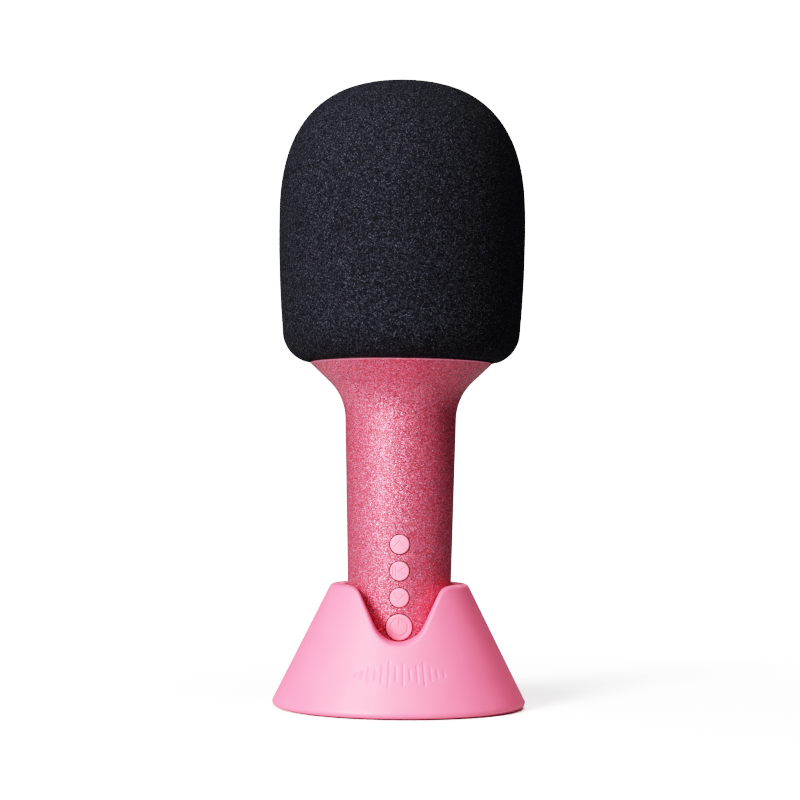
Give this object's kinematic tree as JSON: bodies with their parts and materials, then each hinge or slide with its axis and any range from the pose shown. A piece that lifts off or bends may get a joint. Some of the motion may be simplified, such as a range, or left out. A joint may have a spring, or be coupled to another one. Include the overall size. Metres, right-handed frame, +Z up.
{
  "type": "karaoke microphone",
  "caption": "Wireless karaoke microphone with a flared handle, a built-in speaker, front buttons and a foam windscreen, standing in a conical weighted table stand.",
  "frame": {"origin": "centre of the stand's foot pad on the table", "axes": "+Z up along the microphone; the buttons and the stand's notch face -Y; +X to the right as seen from the front"},
  "size_m": [0.0882, 0.0882, 0.2188],
  "materials": {
    "stand": "soft matte pink silicone-like moulding",
    "foot_pad": "dark non-slip foam sheet",
    "black_plastic": "fine textured black",
    "steel": "zinc plated",
    "barrel": "pink metallic paint with fine glitter under clear coat",
    "barrel_cap": "satin pink",
    "white_plastic": "natural white",
    "battery_wrap": "shrink wrap",
    "nickel": "nickel strip",
    "lead": "insulated wire",
    "board": "green solder mask",
    "chips": "moulded packages with tinned ends",
    "port_steel": "plated shell",
    "basket_steel": "black e-coat",
    "yoke_steel": "zinc plated",
    "ferrite": "sintered ferrite",
    "spider_cloth": "corrugated resin cloth",
    "rubber": "matte black",
    "cone_paper": "pressed paper pulp",
    "copper": "enamelled copper wire",
    "capsule_can": "drawn can",
    "liner_foam": "open-cell pop filter foam",
    "grille_wire": "plated woven wire",
    "foam": "open-cell foam",
    "button": "smooth matte pink",
    "plunger": "white"
  },
  "bodies": {
    "stand": {"stand_shell": "stand", "stand_foot_pad": "foot_pad", "stand_base_plate": "black_plastic", "stand_weight": "steel", "stand_base_screws": "steel"},
    "microphone": {"barrel": "barrel", "end_cap": "barrel_cap", "end_cap_screws": "steel", "chassis": "white_plastic", "battery": "battery_wrap", "battery_tabs": "nickel", "battery_leads": "lead", "main_board": "board", "board_components": "chips", "board_screws": "steel", "switch_bodies": "black_plastic", "charging_port": "port_steel", "speaker_basket": "basket_steel", "speaker_yoke": "yoke_steel", "speaker_magnet": "ferrite", "speaker_spider": "spider_cloth", "speaker_surround": "rubber", "speaker_gasket": "rubber", "speaker_screws": "steel", "speaker_leads": "lead", "head_collar": "black_plastic", "capsule_bridge": "black_plastic", "capsule_grommet": "rubber", "mic_capsule": "capsule_can", "capsule_lead": "lead", "grille_liner": "liner_foam", "grille": "grille_wire"},
    "windscreen": {"windscreen": "foam"},
    "power_button": {"power_button": "button", "power_plunger": "plunger"},
    "volume_down_button": {"volume_down_button": "button", "volume_down_plunger": "plunger"},
    "play_button": {"play_button": "button", "play_plunger": "plunger"},
    "volume_up_button": {"volume_up_button": "button", "volume_up_plunger": "plunger"},
    "speaker_cone": {"speaker_cone": "cone_paper", "voice_coil": "copper"}
  },
  "joints": [
    {"name": "microphone_lift", "type": "slide", "parent": "stand", "child": "microphone", "axis": [0, 0, 1], "range_m": [0, 0.05]},
    {"name": "windscreen_pull", "type": "slide", "parent": "microphone", "child": "windscreen", "axis": [0, 0, 1], "range_m": [0, 0.1]},
    {"name": "power_button_press", "type": "slide", "parent": "microphone", "child": "power_button", "axis": [0, 1, 0], "range_m": [0, 0.0004], "stiffness_N_per_m": 500, "springref_m": -0.0006},
    {"name": "volume_down_button_press", "type": "slide", "parent": "microphone", "child": "volume_down_button", "axis": [0, 1, 0], "range_m": [0, 0.0004], "stiffness_N_per_m": 500, "springref_m": -0.0006},
    {"name": "play_button_press", "type": "slide", "parent": "microphone", "child": "play_button", "axis": [0, 1, 0], "range_m": [0, 0.0004], "stiffness_N_per_m": 500, "springref_m": -0.0006},
    {"name": "volume_up_button_press", "type": "slide", "parent": "microphone", "child": "volume_up_button", "axis": [0, 1, 0], "range_m": [0, 0.0004], "stiffness_N_per_m": 500, "springref_m": -0.0006},
    {"name": "speaker_cone_travel", "type": "slide", "parent": "microphone", "child": "speaker_cone", "axis": [0, 0, 1], "range_m": [-0.0006, 0.0006], "stiffness_N_per_m": 1500, "deforming": ["speaker_surround", "speaker_spider"]}
  ]
}
